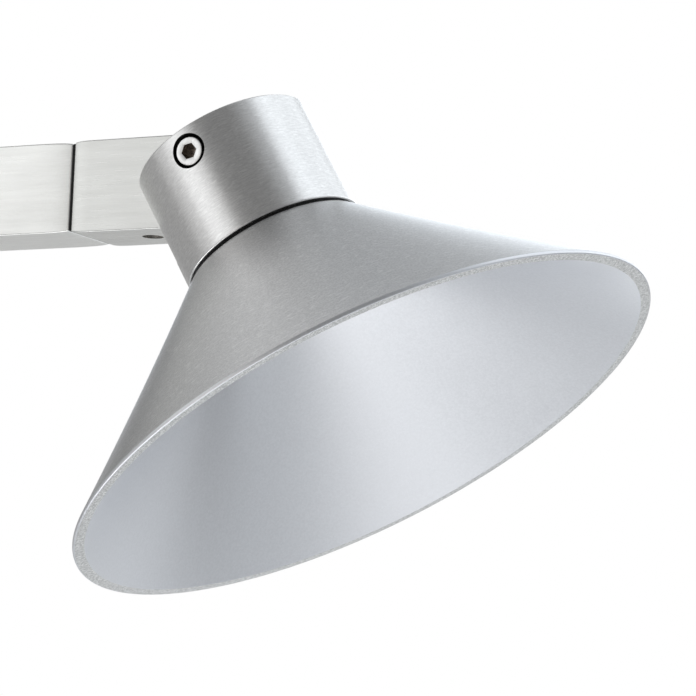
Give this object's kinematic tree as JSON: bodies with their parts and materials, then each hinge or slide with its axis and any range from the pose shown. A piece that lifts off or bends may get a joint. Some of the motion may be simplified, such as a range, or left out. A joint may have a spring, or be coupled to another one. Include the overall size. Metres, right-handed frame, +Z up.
{
  "type": "track spotlight",
  "caption": "Track spotlight with an in-track adapter, a swivelling square bar arm, a turning end block and a tilting conical metal shade.",
  "frame": {"origin": "middle of the adapter, on the plane where its flange meets the underside of the track", "axes": "+Z up into the track, +X along the arm from the stem to the head, Y across the track"},
  "size_m": [0.3418, 0.1324, 0.1756],
  "materials": {
    "cover_silver": "fine satin silver",
    "neck_black": "moulded matte",
    "contact_copper": "sprung copper, bright",
    "carrier_ivory": "moulded matte",
    "board_green": "circuit board",
    "component_grey": "potted",
    "terminal_white": "moulded",
    "fastener_steel": "zinc plated",
    "bush_white": "moulded, low friction",
    "lock_grey": "moulded matte",
    "cam_steel": "stamped",
    "stem_aluminium": "satin, anodised",
    "arm_aluminium": "brushed along its length, anodised",
    "block_aluminium": "brushed along its length, anodised",
    "joint_black": "matte",
    "lead_insulation": "insulation",
    "grub_black": "blackened",
    "bush_bronze": "turned bronze",
    "disc_white": "low friction disc",
    "housing_aluminium": "turned and brushed round its side, anodised",
    "screw_bright": "bright plated",
    "pad_grey": "soft pad",
    "led_white": "white",
    "phosphor_yellow": "phosphor",
    "shade_aluminium": "satin outside, bead blasted inside, anodised",
    "lens_clear": "clear, polished",
    "ring_black": "matte"
  },
  "bodies": {
    "adapter": {"base_cover": "cover_silver", "insert_body": "neck_black", "insert_lid": "neck_black", "live_contacts": "contact_copper", "neutral_contact": "contact_copper", "earth_contacts": "contact_copper", "contact_carrier": "carrier_ivory", "driver_board": "board_green", "driver_components": "component_grey", "terminal_block": "terminal_white", "base_screws": "fastener_steel", "swivel_bush": "bush_white", "swivel_stop_pin": "fastener_steel"},
    "left_lock": {"left_lock_knob": "lock_grey", "left_lock_cam": "cam_steel"},
    "right_lock": {"right_lock_knob": "lock_grey", "right_lock_cam": "cam_steel"},
    "selector": {"selector_dial": "lock_grey", "selector_wiper": "contact_copper"},
    "arm": {"stem_tube": "stem_aluminium", "stem_stop_washer": "fastener_steel", "stem_nut": "fastener_steel", "stem_arm_nut": "fastener_steel", "arm_tube": "arm_aluminium", "arm_end_cap": "arm_aluminium", "arm_front_insert": "block_aluminium", "insert_stop_pins": "fastener_steel", "arm_joint_washer": "joint_black", "arm_leads": "lead_insulation"},
    "block": {"end_block": "block_aluminium", "joint_spindle": "fastener_steel", "spindle_stop_washer": "fastener_steel", "spindle_nut": "fastener_steel", "block_grub_screw": "grub_black", "pivot_bush": "bush_bronze", "friction_discs": "disc_white", "head_leads": "lead_insulation"},
    "head": {"head_housing": "housing_aluminium", "pivot_screws": "screw_bright", "heat_pad": "pad_grey", "led_board": "led_white", "led_emitter": "phosphor_yellow", "led_holder": "led_white", "shade_gasket": "joint_black", "shade": "shade_aluminium", "lens": "lens_clear", "lens_ring": "ring_black", "shade_screws": "fastener_steel"}
  },
  "joints": [
    {"name": "arm_swivel", "type": "hinge", "parent": "adapter", "child": "arm", "pos_m": [0, 0, -0.014], "axis": [0, 0, 1], "range_deg": [-170, 170]},
    {"name": "block_swivel", "type": "hinge", "parent": "arm", "child": "block", "pos_m": [0.1505, 0, -0.064], "axis": [1, 0, 0], "range_deg": [-90, 90]},
    {"name": "head_tilt", "type": "hinge", "parent": "block", "child": "head", "pos_m": [0.1855, 0, -0.06], "axis": [0, -1, 0], "range_deg": [-30.8, 59.2]},
    {"name": "left_lock_turn", "type": "hinge", "parent": "adapter", "child": "left_lock", "pos_m": [-0.044, 0, 0], "axis": [0, 0, 1], "range_deg": [0, 90]},
    {"name": "right_lock_turn", "type": "hinge", "parent": "adapter", "child": "right_lock", "pos_m": [0.044, 0, 0], "axis": [0, 0, 1], "range_deg": [0, 90]},
    {"name": "selector_turn", "type": "hinge", "parent": "adapter", "child": "selector", "pos_m": [-0.024, 0, 0], "axis": [0, 0, 1], "range_deg": [-60, 60]}
  ]
}
